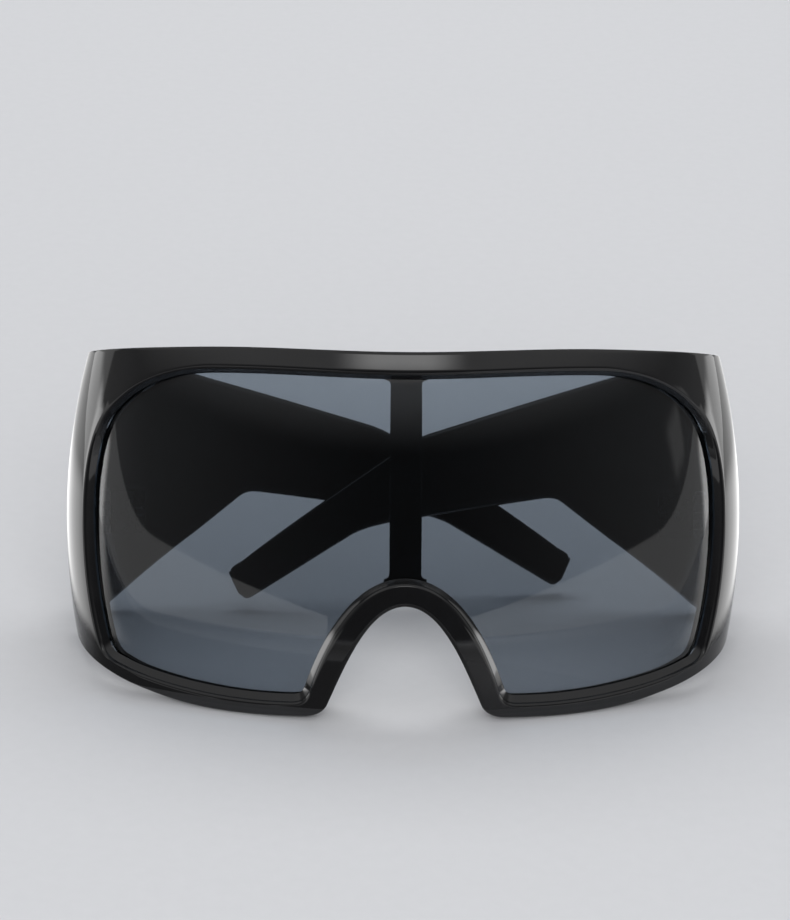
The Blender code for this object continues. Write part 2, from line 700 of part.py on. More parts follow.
def make_leaf_screws(name, side, direction, parent, location, material):
    """Two equal screws, whose heads lie on the leaf and whose shanks go into the boss."""
    under_head = BARREL_RADIUS - LEAF_THICKNESS - SLIP
    length = LEAF_STANDOFF - under_head + LEAF_SCREW_BITE
    turn = Vector((0, 0, -1)).rotation_difference(END_OUTWARD).to_matrix().to_4x4()
    for number, along in enumerate(leaf_screw_places(direction), start=1):
        screw = turned_screw(LEAF_HEAD_RADIUS, LEAF_HEAD_HEIGHT, LEAF_SCREW_RADIUS, length)
        screw.transform(Matrix.Translation(hinge_place(under_head, along)) @ turn)
        new_object(f"{name}_{number}", mirrored(screw, side), material, parent, location)


def make_hinge_screw(name, parent, location, material):
    """The hinge's pin: its head rests on the top knuckle and its end is flush with the lowest."""
    screw = turned_screw(HINGE_HEAD_RADIUS, HINGE_HEAD_HEIGHT, HINGE_SCREW_RADIUS, HINGE_HEIGHT + SLIP)
    screw.transform(Matrix.Translation((0, 0, HINGE_HEIGHT / 2 + SLIP)))
    return new_object(name, screw, material, parent, location)


def fold_angles():
    """How far the right and the left temple turn when folded.

    The right one lies parallel to the face, and the left one over it, just clear where they cross.
    """
    square = math.pi - END_HEADING
    crossing = 2 * AXIS.x + HINGE_SETBACK - CROSSING_SHARE * TEMPLE_LENGTH
    over = math.atan2(temple_wall(CROSSING_SHARE) + FOLD_CLEARANCE, crossing)
    return square, square - over


def world_points(pieces):
    bpy.context.view_layer.update()
    return np.array([(piece.matrix_world @ vert.co)[:] for piece in pieces for vert in piece.data.vertices])


def standing_lean(points):
    """The lean at which the glasses stand: the longest edge of the hull below them, seen from the side."""
    hull = []
    for y, z in sorted({(y, z) for _, y, z in points}):
        while len(hull) > 1:
            (ay, az), (by, bz) = hull[-2:]
            if (by - ay) * (z - az) > (bz - az) * (y - ay):
                break
            hull.pop()
        hull.append((y, z))
    spans = [(math.dist(a, b), a, b) for a, b in zip(hull, hull[1:])]
    _, front, back = max(spans)
    return math.atan2(back[1] - front[1], back[0] - front[0])


def build():
    for old in list(bpy.data.objects):
        bpy.data.objects.remove(old, do_unlink=True)
    black = new_material("moulded_black", (0.008, 0.008, 0.009), 0.08, 0)
    tint = new_material("grey_blue_lens", (0.16, 0.20, 0.25), 0.02, 0, 0.55)
    steel = new_material("plated_steel", (0.52, 0.52, 0.54), 0.25, 1)

    stand = new_empty("stand")
    front = make_front(stand, black)
    new_object("shield_lens", lens_mesh(), tint, stand)
    folds = dict(zip((1, -1), fold_angles()))
    temples = []
    for side, word in ((1, "right"), (-1, "left")):
        place = axis_at(side)
        hinge = new_empty("hinge_axis_" + word, stand, place)
        hinge.rotation_mode = "ZYX"
        hinge.rotation_euler = (0, -HINGE_PLAY, folds[side] * side)
        temples.append(make_temple("temple_" + word, side, hinge, black))
        make_leaf("hinge_leaf_front_" + word, side, -1, stand, place, steel)
        make_leaf("hinge_leaf_temple_" + word, side, 1, hinge, (0, 0, 0), steel)
        make_leaf_screws("leaf_screw_front_" + word, side, -1, stand, place, steel)
        make_leaf_screws("leaf_screw_temple_" + word, side, 1, hinge, (0, 0, 0), steel)
        make_hinge_screw("hinge_screw_" + word, stand, place, steel)

    stand.rotation_euler.x = -standing_lean(world_points([front] + temples))
    points = world_points([front] + temples)
    low, high = points.min(axis=0), points.max(axis=0)
    stand.location = (0, -(low[1] + high[1]) / 2, -low[2])
    bpy.context.view_layer.update()


build()
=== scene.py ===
import math

import bmesh
import bpy
import numpy as np
from mathutils import Euler, Matrix, Vector


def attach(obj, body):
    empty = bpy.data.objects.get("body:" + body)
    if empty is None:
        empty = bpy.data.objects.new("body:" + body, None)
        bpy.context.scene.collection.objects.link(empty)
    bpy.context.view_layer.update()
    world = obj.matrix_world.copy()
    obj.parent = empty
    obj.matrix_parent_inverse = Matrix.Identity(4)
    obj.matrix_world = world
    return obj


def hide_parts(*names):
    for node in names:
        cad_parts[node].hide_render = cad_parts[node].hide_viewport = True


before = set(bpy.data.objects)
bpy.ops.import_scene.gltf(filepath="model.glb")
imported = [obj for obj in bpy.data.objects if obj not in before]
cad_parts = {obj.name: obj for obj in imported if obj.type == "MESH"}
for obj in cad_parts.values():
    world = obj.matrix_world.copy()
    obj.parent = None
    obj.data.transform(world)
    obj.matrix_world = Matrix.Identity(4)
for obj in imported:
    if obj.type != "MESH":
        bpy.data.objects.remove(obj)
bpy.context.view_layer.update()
print("frame loaded")

mm = 0.001
weldDistance = 1e-6

# The wrapped sheet that the front follows: s is the distance along it from the centre, z the height
# on it. The glasses are drawn upright, X across the face and Y towards the ears, then leaned back.
sheet = {
    "halfArc": 100.0 * mm,
    "height": 78.8 * mm,
    "centreRadius": 150.0 * mm,
    "wrapAngle": math.radians(85.4),
    "bulgeRadius": 140.0 * mm,
    "bulgeMiddle": 0.54 * 78.8 * mm,
    "turn": (0.54, 0.68, 0.82, 0.92),  # where the bend tightens, is full, eases and ends
    "steps": 400,
    "lean": math.radians(24.472704),
    "place": (0, -44.8357 * mm, 4.2736 * mm),
}
stand = Matrix.Translation(sheet["place"]) @ Matrix.Rotation(-sheet["lean"], 4, "X")


def ease(value, start, end):
    # Rises smoothly from 0 at the start to 1 at the end
    share = np.clip((np.asarray(value, float) - start) / (end - start), 0, 1)
    return share * share * (3 - 2 * share)


def planCurve():
    # The sheet from above, from the centre to one end: distance along it, X, Y and heading
    shares = np.linspace(0, 1, sheet["steps"] + 1)
    start, full, easing, end = sheet["turn"]
    wide = 1 - ease(shares, easing, end)
    tight = ease(shares, start, full) * wide
    wide = wide - tight
    step = sheet["halfArc"] / sheet["steps"]
    extra = (sheet["wrapAngle"] - wide.sum() * step / sheet["centreRadius"]) / (tight.sum() * step)
    bend = wide / sheet["centreRadius"] + tight * extra
    heading = np.concatenate([[0], np.cumsum((bend[1:] + bend[:-1]) / 2 * step)])
    middle = (heading[1:] + heading[:-1]) / 2
    x = np.concatenate([[0], np.cumsum(np.cos(middle) * step)])
    y = np.concatenate([[0], np.cumsum(np.sin(middle) * step)])
    return shares * sheet["halfArc"], x, y, heading


plan = planCurve()
endHeading = plan[3][-1]
endPlace = np.array([plan[1][-1], plan[2][-1], 0])
endOutward = np.array([math.sin(endHeading), -math.cos(endHeading), 0])
endBackward = np.array([math.cos(endHeading), math.sin(endHeading), 0])


def bulge(z):
    # How far the sheet is drawn in at this height, and its slope there
    rise = np.asarray(z, float) - sheet["bulgeMiddle"]
    run = np.sqrt(sheet["bulgeRadius"] ** 2 - rise**2)
    return sheet["bulgeRadius"] - run, rise / run


def sheetPoints(s, z, depth):
    # Points at a depth behind the sheet's face
    s, z, depth = np.broadcast_arrays(np.asarray(s, float), z, depth)
    along = np.abs(s)
    heading = np.interp(along, plan[0], plan[3])
    drawnIn, slope = bulge(z)
    length = np.sqrt(1 + slope**2)
    inward = drawnIn + depth / length
    x = np.interp(along, plan[0], plan[1]) - np.sin(heading) * inward
    y = np.interp(along, plan[0], plan[2]) + np.cos(heading) * inward
    return np.stack([np.copysign(1, s) * x, y, z - slope / length * depth], axis=-1)


wall = 3.6 * mm
foldClearance = 0.4 * mm
gap = 0.3 * mm  # between neighbours
hingeSetback = 2.9 * mm
axisMargin = 0.8 * mm
axisInset = bulge(sheet["height"])[0] - axisMargin
axisPlace = endPlace - endOutward * (wall + axisInset) + endBackward * (gap / 2 + hingeSetback)

curveSteps = 160


def bezierChain(points, count):
    # Evenly spaced points on a chain of curves, four control points each, that share their ends
    dense = []
    t = np.linspace(0, 1, curveSteps)[:, None]
    for first in range(0, len(points) - 1, 3):
        a, b, c, d = (np.array(p, float) for p in points[first : first + 4])
        rest = 1 - t
        dense.append(rest**3 * a + 3 * rest**2 * t * b + 3 * rest * t * t * c + t**3 * d)
    dense = np.concatenate(dense)
    run = np.concatenate([[0], np.cumsum(np.linalg.norm(np.diff(dense, axis=0), axis=1))])
    want = np.linspace(0, run[-1], count + 1)
    return np.column_stack([np.interp(want, run, dense[:, 0]), np.interp(want, run, dense[:, 1])])


def outline(tables, counts, width, height):
    # The points of a half outline at its real width and height
    scale = np.array([width, height])
    parts = [
        bezierChain(np.array(table) * scale, count)[:-1] for table, count in zip(tables, counts)
    ]
    return np.concatenate(parts + [np.array([tables[-1][-1]]) * scale])


def inwardOffset(points, distance):
    # Moves a half outline inwards, or outwards by a negative distance. Its ends stay on the centre.
    tangent = np.gradient(points, axis=0)
    tangent[0] = (1, 0)
    tangent[-1] = (-1, 0)
    tangent /= np.linalg.norm(tangent, axis=1)[:, None]
    return points + np.column_stack([tangent[:, 1], -tangent[:, 0]]) * np.reshape(distance, (-1, 1))


recessSizes = {"draft": 0.3, "extraBelow": 1.0, "fadesOut": 0.8}  # mm, mm, share of the height


def recessDraft(z):
    # How far the recess in front of the lens narrows inwards at this height
    low = 1 - ease(z, 0, recessSizes["fadesOut"] * sheet["height"])
    return (recessSizes["draft"] + recessSizes["extraBelow"] * low) * mm


def arc(centre, start, end, radii, steps):
    # Points on a part of an ellipse, its start and end in degrees
    turns = np.radians(np.linspace(start, end, steps + 1))
    return [(centre[0] + radii[0] * math.cos(a), centre[1] + radii[1] * math.sin(a)) for a in turns]


def gridMesh(rings, wrapAlong=False):
    # A skin over closed rings. A wrap joins the last ring to the first, and open ends are filled.
    rows = np.asarray(rings, float)
    rows = np.concatenate([rows, rows[:, :1]], axis=1)
    if wrapAlong:
        rows = np.concatenate([rows, rows[:1]], axis=0)
    high, wide = rows.shape[:2]
    bm = bmesh.new()
    bmesh.ops.create_grid(bm, x_segments=wide - 1, y_segments=high - 1, size=1)
    for vert in bm.verts:
        across = round((vert.co.x + 1) / 2 * (wide - 1))
        along = round((vert.co.y + 1) / 2 * (high - 1))
        vert.co = rows[along, across]
    bmesh.ops.remove_doubles(bm, verts=bm.verts, dist=weldDistance)
    bmesh.ops.dissolve_degenerate(bm, dist=weldDistance, edges=bm.edges)
    border = [edge for edge in bm.edges if edge.is_boundary]
    if border:
        bmesh.ops.holes_fill(bm, edges=border)
    bmesh.ops.recalc_face_normals(bm, faces=bm.faces)
    return bm


def meshOf(bm):
    mesh = bpy.data.meshes.new("shape")
    bm.to_mesh(mesh)
    bm.free()
    return mesh


def mirrorX(bm):
    bmesh.ops.scale(bm, vec=(-1, 1, 1), verts=bm.verts)
    bmesh.ops.reverse_faces(bm, faces=bm.faces)
    return bm


def place(bm, matrix):
    bmesh.ops.transform(bm, matrix=matrix, verts=bm.verts)
    return bm


def block(low, high):
    bm = bmesh.new()
    bmesh.ops.create_cube(bm, size=1)
    for vert in bm.verts:
        vert.co = [b if c > 0 else a for a, b, c in zip(low, high, vert.co)]
    return bm


def rod(radius, start, end, sides=32):
    along = Vector(end) - Vector(start)
    turn = Vector((0, 0, 1)).rotation_difference(along).to_matrix().to_4x4()
    middle = (Vector(start) + Vector(end)) / 2
    bm = bmesh.new()
    bmesh.ops.create_cone(
        bm, cap_ends=True, segments=sides, radius1=radius, radius2=radius, depth=along.length,
        matrix=Matrix.Translation(middle) @ turn,
    )
    return bm


turnedWeld = 0.002 * mm


def turned(profile, sides=48):
    # A solid of revolution about Z from points of radius and height
    bm = bmesh.new()
    verts = [bm.verts.new((r, 0, z)) for r, z in profile]
    edges = [bm.edges.new(pair) for pair in zip(verts, verts[1:])]
    bmesh.ops.spin(
        bm, geom=verts + edges, cent=(0, 0, 0), axis=(0, 0, 1), angle=2 * math.pi, steps=sides,
        use_merge=True,
    )
    bmesh.ops.remove_doubles(bm, verts=bm.verts, dist=turnedWeld)
    bmesh.ops.recalc_face_normals(bm, faces=bm.faces)
    return bm


def combine(bm, tools):
    # Joins or cuts closed shapes, and gives back the finished mesh
    base = bpy.data.objects.new("combineBase", meshOf(bm))
    bpy.context.scene.collection.objects.link(base)
    made = []
    for tool, operation in tools:
        other = bpy.data.objects.new("combineTool", meshOf(tool))
        bpy.context.scene.collection.objects.link(other)
        modifier = base.modifiers.new(operation.title(), "BOOLEAN")
        modifier.object = other
        modifier.operation = operation
        modifier.solver = "MANIFOLD"
        made.append(other)
    bpy.context.view_layer.update()
    graph = bpy.context.evaluated_depsgraph_get()
    result = bpy.data.meshes.new_from_object(base.evaluated_get(graph))
    for old in [base] + made:
        bpy.data.objects.remove(old)
    return result


sharpAngle = math.radians(30)


def addPiece(name, mesh, matrix, body, replaced, material, bevel=0):
    mesh.transform(matrix)
    mesh.shade_smooth()
    mesh.set_sharp_from_angle(angle=sharpAngle)
    mesh.materials.clear()
    mesh.materials.append(material)
    piece = bpy.data.objects.new(name, mesh)
    bpy.context.scene.collection.objects.link(piece)
    if bevel:
        soften = piece.modifiers.new("soften", "BEVEL")
        soften.width = bevel
        soften.segments = 2
        soften.limit_method = "ANGLE"
        soften.angle_limit = sharpAngle
        soften.harden_normals = True
    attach(piece, body)
    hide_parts(*replaced)


class Wire:
    # An output socket: arithmetic on it adds Math nodes to its tree
    def __init__(self, tree, socket):
        self.tree = tree
        self.socket = socket

    def feed(self, slot, value):
        if isinstance(value, Wire):
            self.tree.links.new(value.socket, slot)
        else:
            slot.default_value = value

    def node(self, kind, inputs=None, output=0, **settings):
        made = self.tree.nodes.new("ShaderNode" + kind)
        for key, value in settings.items():
            setattr(made, key, value)
        for key, value in (inputs or {}).items():
            self.feed(made.inputs[key], value)
        return Wire(self.tree, made.outputs[output])

    def math(self, operation, *values):
        return self.node("Math", dict(enumerate(values)), operation=operation)

    def blend(self, first, second):
        return self.node("Mix", {0: self, 6: first, 7: second}, 2, data_type="RGBA")

    def range(self, low, high, kind="LINEAR"):
        return self.node("MapRange", {0: self, 1: low, 2: high}, interpolation_type=kind)

    def part(self, axis):
        return self.node("SeparateXYZ", {0: self}, axis)

    def __add__(self, other):
        return self.math("ADD", self, other)

    def __mul__(self, other):
        return self.math("MULTIPLY", self, other)

    def __rsub__(self, other):
        return self.math("SUBTRACT", other, self)

    __radd__ = __add__
    __rmul__ = __mul__


def newMaterial(name):
    material = bpy.data.materials.new(name)
    material.use_nodes = True
    tree = material.node_tree
    shader = tree.nodes["Principled BSDF"]
    places = Wire(tree, None).node("TexCoord", output=3)
    return material, shader, places


def noise(places, scale, detail, roughness=0.5, stretch=(1, 1, 1)):
    spread = places.node("VectorMath", {0: places, 1: stretch}, operation="MULTIPLY")
    inputs = {"Vector": spread, "Scale": scale, "Detail": detail, "Roughness": roughness}
    return places.node("TexNoise", inputs)


def setShader(shader, places, inputs):
    for key, value in inputs.items():
        places.feed(shader.inputs[key], value)


# Each noise is given by its scale, detail, roughness and stretch.
blackLook = {
    "clean": (0.0045, 0.0045, 0.005, 1),
    "hazy": (0.0065, 0.0067, 0.0075, 1),
    "waves": (38, 1.0),
    "waveHeight": 0.9,
    "peel": (420, 2.0),
    "peelHeight": 0.05,
    "haze": (90, 4.0, 0.6),
    "hazeRange": (0.45, 0.75),
    "scuff": (900, 3.0, 0.7, (1, 0.15, 0.4)),
    "scuffRange": (0.62, 0.8),
    "roughness": 0.045,
    "hazeRoughness": 0.035,
    "scuffRoughness": 0.04,
    "bumpStrength": 0.35,
    "bumpDistance": 0.00012,
    "ior": 1.55,
}


def blackPlastic():
    # A moulded gloss with long soft waves, a little orange peel, and faint haze and scuffs from use
    look = blackLook
    material, shader, places = newMaterial("mouldedBlack")
    waves = noise(places, *look["waves"])
    peel = noise(places, *look["peel"])
    haze = noise(places, *look["haze"]).range(*look["hazeRange"])
    scuff = noise(places, *look["scuff"]).range(*look["scuffRange"])
    height = waves * look["waveHeight"] + peel * look["peelHeight"]
    bump = places.node("Bump", {
        "Strength": look["bumpStrength"], "Distance": look["bumpDistance"], "Height": height,
    })
    roughness = look["roughness"] + haze * look["hazeRoughness"] + scuff * look["scuffRoughness"]
    setShader(shader, places, {
        "Base Color": haze.blend(look["clean"], look["hazy"]),
        "Roughness": roughness,
        "Normal": bump,
        "IOR": look["ior"],
    })
    return material


lensLook = {
    # The lower colour is a little darker than the upper one: painted shade laid over the lens's own
    # tint
    "low": (0.235, 0.272, 0.318, 1),
    "high": (0.245, 0.29, 0.34, 1),
    "heights": (0.01, 0.07),
    "shadowTint": (0.45, 0.49, 0.53, 1),
    "sheen": (60, 2.0),
    "sheenRange": (0.4, 0.7),
    "sheenRoughness": 0.012,
    "ior": 1.5,
}


def tintedLens():
    # The blue-grey tint is the lens's own. It is made a little darker below, and that darkening is
    # painted shade for the shaded table seen through the lower lens. Shadow rays and soft light
    # pass as through a clear tint.
    look = lensLook
    material, shader, places = newMaterial("tintedLens")
    tree = material.node_tree
    share = places.part(2).range(*look["heights"])
    sheen = noise(places, *look["sheen"]).range(*look["sheenRange"])
    setShader(shader, places, {
        "Base Color": share.blend(look["low"], look["high"]),
        "Roughness": sheen * look["sheenRoughness"],
        "IOR": look["ior"],
        "Transmission Weight": 1.0,
    })
    path = tree.nodes.new("ShaderNodeLightPath")
    shadow = Wire(tree, path.outputs["Is Shadow Ray"])
    lit = shadow.math("MAXIMUM", shadow, Wire(tree, path.outputs["Is Diffuse Ray"]))
    clear = places.node("BsdfTransparent", {"Color": look["shadowTint"]})
    mix = places.node("MixShader", {0: lit, 1: Wire(tree, shader.outputs[0]), 2: clear})
    tree.links.new(mix.socket, tree.nodes["Material Output"].inputs["Surface"])
    return material


steelLook = {
    "bright": (0.060, 0.060, 0.064, 1),
    "dull": (0.042, 0.042, 0.045, 1),
    "lines": (1500, 3.0, 0.6, (1, 1, 0.06)),
    "patches": (260, 3.0, 0.6),
    "patchRange": (0.4, 0.7),
    "roughness": 0.2,
    "lineRoughness": 0.12,
    "patchRoughness": 0.08,
    "bumpStrength": 0.3,
    "bumpDistance": 0.00002,
}


def platedSteel():
    # Black plate with drawn lines along the leaf and a few duller patches
    look = steelLook
    material, shader, places = newMaterial("platedSteel")
    lines = noise(places, *look["lines"])
    patches = noise(places, *look["patches"]).range(*look["patchRange"])
    bump = places.node("Bump", {
        "Strength": look["bumpStrength"], "Distance": look["bumpDistance"], "Height": lines,
    })
    roughness = look["roughness"] + lines * look["lineRoughness"] + patches * look["patchRoughness"]
    setShader(shader, places, {
        "Base Color": patches.blend(look["bright"], look["dull"]),
        "Roughness": roughness,
        "Normal": bump,
        "Metallic": 1.0,
    })
    return material


black = blackPlastic()
tint = tintedLens()
steel = platedSteel()
print("materials made")

# Half outlines from the centre of the brow round to the nose arch: chains of curves, each by its
# control points, in shares of half the arc and of the height
outerTable = (
    ((0, 0.986), (0.15, 0.986), (0.29, 1), (0.44, 1)),
    ((0.44, 1), (0.60, 1), (0.80, 0.990), (0.982, 0.990)),
    ((0.982, 0.990), (0.993, 0.990), (1, 0.981), (1, 0.967)),
    ((1, 0.967), (1, 0.74), (1, 0.52), (1, 0.300)),
    ((1, 0.300), (1, 0.283), (0.993, 0.273), (0.978, 0.266)),
    ((0.978, 0.266), (0.86, 0.203), (0.70, 0.105), (0.58, 0.061)),
    ((0.58, 0.061), (0.50, 0.0254), (0.40, 0), (0.225, 0)),
    ((0.225, 0), (0.202, 0), (0.18, 0.009), (0.171, 0.033)),
    ((0.171, 0.033), (0.126, 0.147), (0.076, 0.301), (0, 0.301)),
)
lensTable = (
    ((0, 0.921), (0.14, 0.921), (0.28, 0.938), (0.44, 0.938)),
    ((0.44, 0.938), (0.515, 0.938), (0.593, 0.912), (0.656, 0.846)),
    ((0.656, 0.846), (0.664, 0.838), (0.672, 0.829), (0.680, 0.819)),
    (
        (0.680, 0.819), (0.716, 0.774), (0.735, 0.68), (0.735, 0.558),
        (0.736, 0.444), (0.732, 0.33), (0.722, 0.247),
    ),
    ((0.722, 0.247), (0.7205, 0.233), (0.7185, 0.219), (0.716, 0.205)),
    (
        (0.716, 0.205), (0.711, 0.17), (0.697, 0.147), (0.66, 0.1345),
        (0.632, 0.1213), (0.604, 0.1096), (0.576, 0.0993),
    ),
    ((0.576, 0.0993), (0.465, 0.058), (0.355, 0.0393), (0.25, 0.0393)),
    ((0.25, 0.0393), (0.228, 0.0393), (0.215, 0.052), (0.209, 0.0761)),
    ((0.209, 0.0761), (0.176, 0.18), (0.112, 0.3645), (0, 0.3645)),
)
baseCounts = (8, 11, 3, 10, 3, 10, 7, 4, 12)  # steps on each curve
noseCurves = 2

rimSizes = {
    "finer": 4,
    "edgeRound": 0.8 * mm,
    "lipRound": 0.9 * mm,
    "bandDepth": 5.2 * mm,
    "bandReach": 4.2 * mm,
    "bandSlope": 1.4 * mm,
    "bandStart": 0.3,
    "lipSetback": 0.5 * mm,
    "lipMargin": 0.4 * mm,
    "smallRound": 0.15 * mm,
    "flangeDepth": 6.5 * mm,
    "flangeWall": 2.4 * mm,
    "flangeFlare": math.radians(24),
    "flangeSweep": 0.45,
    "flangeFull": 0.35,
    "bridgeStart": 0.55,
    "bridgeShare": 0.4,
    "faceRows": 14,
    "roundSteps": 6,
}
lensSizes = {
    "thickness": 1.5 * mm,
    "recess": 2.4 * mm,
    "bite": 1.0 * mm,
    "chamfer": 0.15 * mm,
    "finer": 8,
    "columns": 110,
    "rows": 46,
}
grooveDepth = lensSizes["recess"] - gap
seatDepth = lensSizes["recess"] + lensSizes["thickness"] + gap


def noseFlange(share):
    # How far the nose flange stands back at this share of the way along the arch
    bridge = 1 - (1 - rimSizes["bridgeShare"]) * ease(share, rimSizes["bridgeStart"], 1)
    return float(rimSizes["flangeDepth"] * ease(share, 0, rimSizes["flangeFull"]) * bridge)


def rimSection(outer, lens, seat, groove, lipEdge, flange):
    # One section of the rim, from the outline over the face, the recess, the groove and the back
    along = lens - outer
    reach = np.linalg.norm(along)
    along = along / reach
    sizes = rimSizes
    widest = reach / 4
    edge = min(sizes["edgeRound"], widest)
    lip = min(sizes["lipRound"], widest)
    steps = sizes["roundSteps"]
    shift = flange * math.tan(sizes["flangeFlare"])
    back = wall + flange
    shares = np.linspace(0, 1, sizes["faceRows"] + 2)[1:-1]
    last = (lipEdge - outer) @ along - sizes["lipMargin"]
    base = sizes["flangeWall"] + sizes["edgeRound"] / 2 + shift + flange / 4
    base = min(base, last - sizes["lipMargin"])
    bend = max(reach - sizes["bandReach"], sizes["bandStart"] * reach)
    section = arc((edge, edge), 180, 270, (edge, edge), steps)
    section += [(edge + (reach - lip - edge) * share, 0) for share in shares]
    section += arc((reach - lip, lip), 270, 360, (lip, lip), steps)
    points = [(*(outer + along * q), depth) for q, depth in section]
    cut = sizes["smallRound"]
    foot = seat + (lens - seat) * cut / grooveDepth
    nearly = lipEdge - along * cut
    points += [
        (*foot, grooveDepth - cut), (*seat, grooveDepth - cut / 3),
        (*(seat - along * cut / 2), grooveDepth), (*groove, grooveDepth), (*groove, seatDepth),
        (*nearly, seatDepth), (*lipEdge, seatDepth + cut),
        (*lipEdge, sizes["bandDepth"] - cut), (*nearly, sizes["bandDepth"]),
    ]
    top = sizes["flangeWall"] + shift
    tip = min(edge, flange)
    section = [(base + (last - base) * share, wall) for share in shares[::-1]]
    sweep = sizes["flangeSweep"]
    middle = np.array([base + top, 2 * wall + flange - tip]) / 2
    corner = np.array([top, wall]) * sweep + middle * (1 - sweep)
    for t in np.linspace(0, 1, steps + 1)[:-1]:
        spot = (1 - t) ** 2 * np.array([base, wall]) + 2 * (1 - t) * t * corner
        section.append(tuple(spot + t * t * np.array([top, back - tip])))
    section += arc((top - edge, back - tip), 0, 90, (edge, tip), steps)
    thicker = sizes["bandDepth"] - wall
    slope = [float(ease(q, bend, bend + sizes["bandSlope"])) for q, _ in section]
    section = [(q, max(depth, wall + thicker * rise)) for (q, depth), rise in zip(section, slope)]
    section += arc((edge + shift, back - edge), 90, 180, (edge, edge), steps)
    points += [(*(outer + along * q), depth) for q, depth in section]
    return points


def rimShape():
    counts = [count * rimSizes["finer"] for count in baseCounts]
    outer = outline(outerTable, counts, sheet["halfArc"], sheet["height"])
    lens = outline(lensTable, counts, sheet["halfArc"], sheet["height"])
    draft = recessDraft(lens[:, 1])
    seat = inwardOffset(lens, draft)
    groove = inwardOffset(lens, draft - lensSizes["bite"] - gap)
    lipEdge = inwardOffset(lens, draft - rimSizes["lipSetback"])
    edges = (outer, lens, seat, groove, lipEdge)
    noseCount = sum(counts[-noseCurves:])
    noseStart = len(outer) - 1 - noseCount
    flanges = [noseFlange(max(i - noseStart, 0) / noseCount) for i in range(len(outer))]
    half = np.array([
        rimSection(*(table[i] for table in edges), flange) for i, flange in enumerate(flanges)
    ])
    rings = sheetPoints(half[..., 0], half[..., 1], half[..., 2])
    other = rings[1:-1][::-1] * np.array([-1, 1, 1])
    return gridMesh(np.concatenate([rings, other]), wrapAlong=True)


barSizes = {
    "width": 7.0 * mm,
    "thickness": 1.6 * mm,
    "fillet": 1.2 * mm,
    "round": 0.3 * mm,
    "rows": 60,
    "columns": 9,
    "filletSteps": 14,
    "roundSteps": 4,
    "overrun": 1.0 * mm,
}


def barShape():
    # The bar behind the lens, with feet that spread into the rim
    sizes = barSizes
    low = lensTable[-1][-1][1] * sheet["height"]
    low += float(recessDraft(low)) - rimSizes["lipSetback"]
    high = lensTable[0][0][1] * sheet["height"]
    high -= float(recessDraft(high)) - rimSizes["lipSetback"]
    near = seatDepth + gap / 2
    far = near + sizes["thickness"]
    fillet = sizes["fillet"]
    ends = 1 - np.cos(np.linspace(0, math.pi / 2, sizes["filletSteps"]))
    heights = np.concatenate([
        [low - sizes["overrun"]], low + fillet * ends,
        np.linspace(low + fillet, high - fillet, sizes["rows"])[1:-1],
        (high - fillet * ends)[::-1], [high + sizes["overrun"]],
    ])
    across = np.linspace(-1, 1, sizes["columns"])[1:-1]
    steps = sizes["roundSteps"]
    rings = []
    for z in heights:
        clear = min(max(min(z - low, high - z), 0), fillet)
        half = sizes["width"] / 2 + fillet - math.sqrt(fillet**2 - (fillet - clear) ** 2)
        r = sizes["round"]
        section = [(share * (half - r), near) for share in across]
        section += arc((half - r, near + r), -90, 0, (r, r), steps)
        section += arc((half - r, far - r), 0, 90, (r, r), steps)
        section += [(share * (half - r), far) for share in across[::-1]]
        section += arc((r - half, far - r), 90, 180, (r, r), steps)
        section += arc((r - half, near + r), 180, 270, (r, r), steps)
        section = np.array(section)
        rings.append(sheetPoints(section[:, 0], z, section[:, 1]))
    return gridMesh(np.array(rings))


hingeSizes = {
    "knuckles": 5,
    "knuckleHeight": 1.6 * mm,
    "barrel": 1.7 * mm,
    "leaf": 0.8 * mm,
    "leafSoftEdge": 0.06 * mm,
    "barrelSteps": 56,
    "reach": 10.0 * mm,
    "bossLength": 10.8 * mm,
    "bossMargin": 1.6 * mm,
    "bossRound": 0.3 * mm,
    "bossDraft": 0.5 * mm,
    "pin": 0.6 * mm,
    "pinHead": (1.35 * mm, 0.8 * mm),
    "screw": 0.6 * mm,
    "screwHead": (1.1 * mm, 0.5 * mm),
    "screwBite": 2.2 * mm,
    "screwShares": (0.52, 0.86),  # of the leaf's reach
    "screwTurn": 0.7,
    "pinTurn": 0.6,
    "slip": 0.2 * mm,
    "overrun": 1.0 * mm,
}
standoff = hingeSizes["barrel"] + hingeSizes["slip"]
leafBack = hingeSizes["barrel"] - hingeSizes["leaf"]
hingeHeight = hingeSizes["knuckles"] * hingeSizes["knuckleHeight"]
hingeHeight += (hingeSizes["knuckles"] - 1) * gap
# Outward, backward and up as the columns, for a point given in the hinge's own directions
hingeTurn = Matrix((endOutward, endBackward, (0, 0, 1))).transposed().to_4x4()


def hingeDirections(bm, direction, origin):
    # Turns a shape drawn with X outward and Y along the leaf into the opened right hinge
    if direction < 0:
        bmesh.ops.scale(bm, vec=(1, -1, 1), verts=bm.verts)
        bmesh.ops.reverse_faces(bm, faces=bm.faces)
    return place(bm, Matrix.Translation(origin) @ hingeTurn)


def bossShape(direction):
    # A drafted block on the inner face, which carries a leaf
    sizes = hingeSizes
    half = hingeHeight / 2 + sizes["bossMargin"]
    start = rimSizes["edgeRound"] + (hingeSetback + gap / 2 if direction < 0 else 0)
    bm = bmesh.new()
    bmesh.ops.create_cube(bm, size=1)
    for vert in bm.verts:
        inner = vert.co.x < 0
        draft = sizes["bossDraft"] if inner else 0
        vert.co = (
            standoff if inner else axisInset + sizes["overrun"],
            start if vert.co.y < 0 else sizes["bossLength"] - draft,
            math.copysign(half - draft, vert.co.z),
        )
    bmesh.ops.bevel(
        bm, geom=bm.edges[:], offset=sizes["bossRound"], offset_type="OFFSET", segments=4,
        profile=0.5, affect="EDGES", material=-1,
    )
    return bm


def screwHole(along):
    deep = standoff + hingeSizes["screwBite"] + gap
    start = (standoff - hingeSizes["overrun"], along, 0)
    return rod(hingeSizes["screw"] + gap, start, (deep, along, 0))


